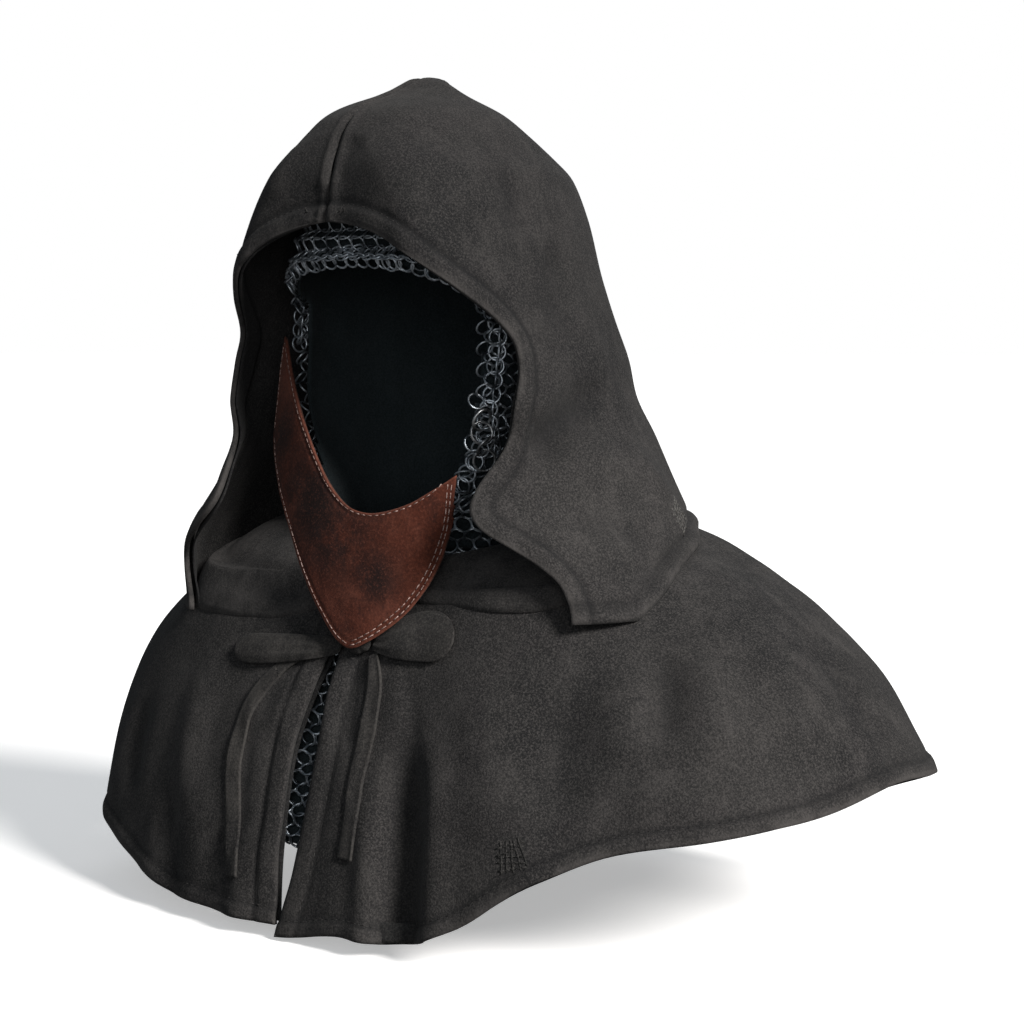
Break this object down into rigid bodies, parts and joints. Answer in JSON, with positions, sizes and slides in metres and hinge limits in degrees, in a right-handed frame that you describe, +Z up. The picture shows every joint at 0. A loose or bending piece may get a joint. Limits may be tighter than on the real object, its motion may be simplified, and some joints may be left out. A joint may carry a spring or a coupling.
{
  "type": "mail coif with hooded wool mantle",
  "caption": "Mail coif worn under a dark hooded wool mantle, with a red-brown leather chin flap and a tied throat.",
  "frame": {"origin": "crown of the head, on the inside of the lining cap", "axes": "+Z up, -Y out through the face opening, +X towards the wearer's left"},
  "size_m": [0.5826, 0.3723, 0.5144],
  "materials": {
    "wool": "worn matte wool, dark charcoal",
    "wool_turned": "inner face of the same wool, matte",
    "mail": "oiled dark steel rings",
    "large_rings": "worn bright steel",
    "leather": "red-brown suede, smudged",
    "leather_backing": "rough flesh side",
    "tie_cloth": "soft matte wool strip",
    "thread": "dull darning thread",
    "lining": "dark quilted cloth"
  },
  "bodies": {
    "coif": {"hood_left": "wool", "hood_right": "wool", "face_facing_left": "wool_turned", "face_facing_right": "wool_turned", "throat_collar_left": "wool", "throat_collar_right": "wool", "mantle_left": "wool", "mantle_right": "wool", "mantle_hem_left": "wool_turned", "mantle_hem_right": "wool_turned", "front_facing_left": "wool_turned", "front_facing_right": "wool_turned", "mail_head": "mail", "mail_mantle_left": "mail", "mail_mantle_right": "mail", "mail_edge_rings": "mail", "fastening_rings": "large_rings", "lining_cap": "lining", "tie_knot": "tie_cloth", "darn_hood": "thread", "darn_mantle": "thread"},
    "flap": {"chin_flap": "leather", "chin_flap_backing": "leather_backing"},
    "loop_left": {"tie_loop_left": "tie_cloth"},
    "loop_right": {"tie_loop_right": "tie_cloth"},
    "tail_left": {"tie_tail_left": "tie_cloth"},
    "tail_right": {"tie_tail_right": "tie_cloth"}
  },
  "joints": [
    {"name": "flap_swing", "type": "hinge", "parent": "coif", "child": "flap", "pos_m": [-0.0885, -0.0597, -0.14], "axis": [0, -0.1754, -0.9845], "range_deg": [0, 60]},
    {"name": "loop_left_lift", "type": "hinge", "parent": "coif", "child": "loop_left", "pos_m": [0.028, -0.1005, -0.297], "axis": [0, 0, -1], "range_deg": [0, 15]},
    {"name": "loop_right_lift", "type": "hinge", "parent": "coif", "child": "loop_right", "pos_m": [0.0025, -0.1055, -0.307], "axis": [0, 0, 1], "range_deg": [0, 45]},
    {"name": "tail_left_lift", "type": "hinge", "parent": "coif", "child": "tail_left", "pos_m": [0.027, -0.1045, -0.308], "axis": [-1, 0, 0], "range_deg": [0, 60]},
    {"name": "tail_right_lift", "type": "hinge", "parent": "coif", "child": "tail_right", "pos_m": [-0.0415, -0.1065, -0.32], "axis": [-1, 0, 0], "range_deg": [0, 60]}
  ]
}
